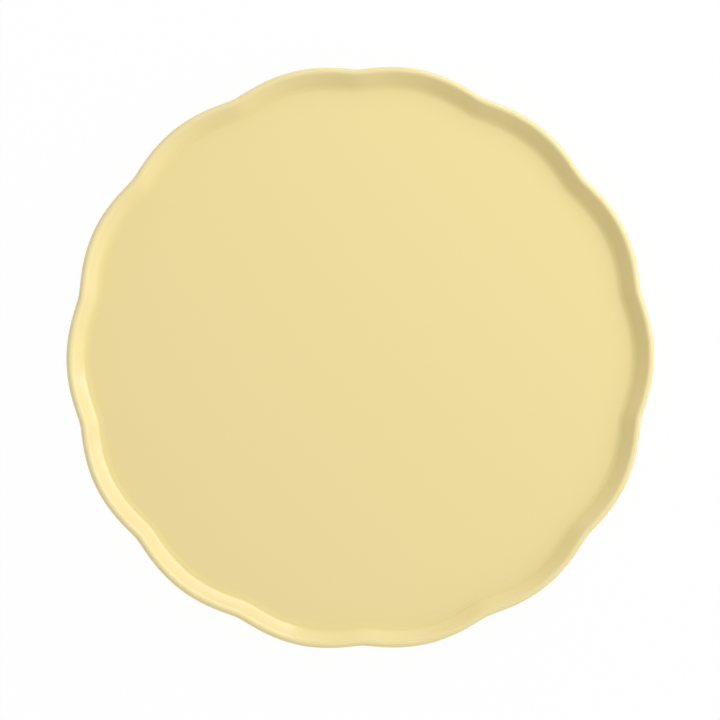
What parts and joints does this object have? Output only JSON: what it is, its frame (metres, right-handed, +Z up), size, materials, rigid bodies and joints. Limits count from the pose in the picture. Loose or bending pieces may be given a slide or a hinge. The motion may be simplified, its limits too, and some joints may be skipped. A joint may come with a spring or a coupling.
{
  "type": "round serving platter",
  "caption": "Flat round serving platter in pale yellow glazed stoneware, with a low sloping rim, a rounded lip, a scalloped outline and unglazed foot rings.",
  "frame": {"origin": "middle of the footprint, on the plane that the foot rings stand on", "axes": "+Z up out of the well, +X through a crest of the scalloped rim, +Y through a notch"},
  "size_m": [0.305, 0.3006, 0.016],
  "materials": {
    "stoneware": "bare fired clay, matt and finely gritty",
    "glaze": "opaque pale yellow glaze, glossy"
  },
  "bodies": {
    "root": {"stoneware_body": "stoneware", "glaze_coat": "glaze", "base_glaze_band": "glaze", "base_glaze_disc": "glaze"}
  },
  "joints": []
}
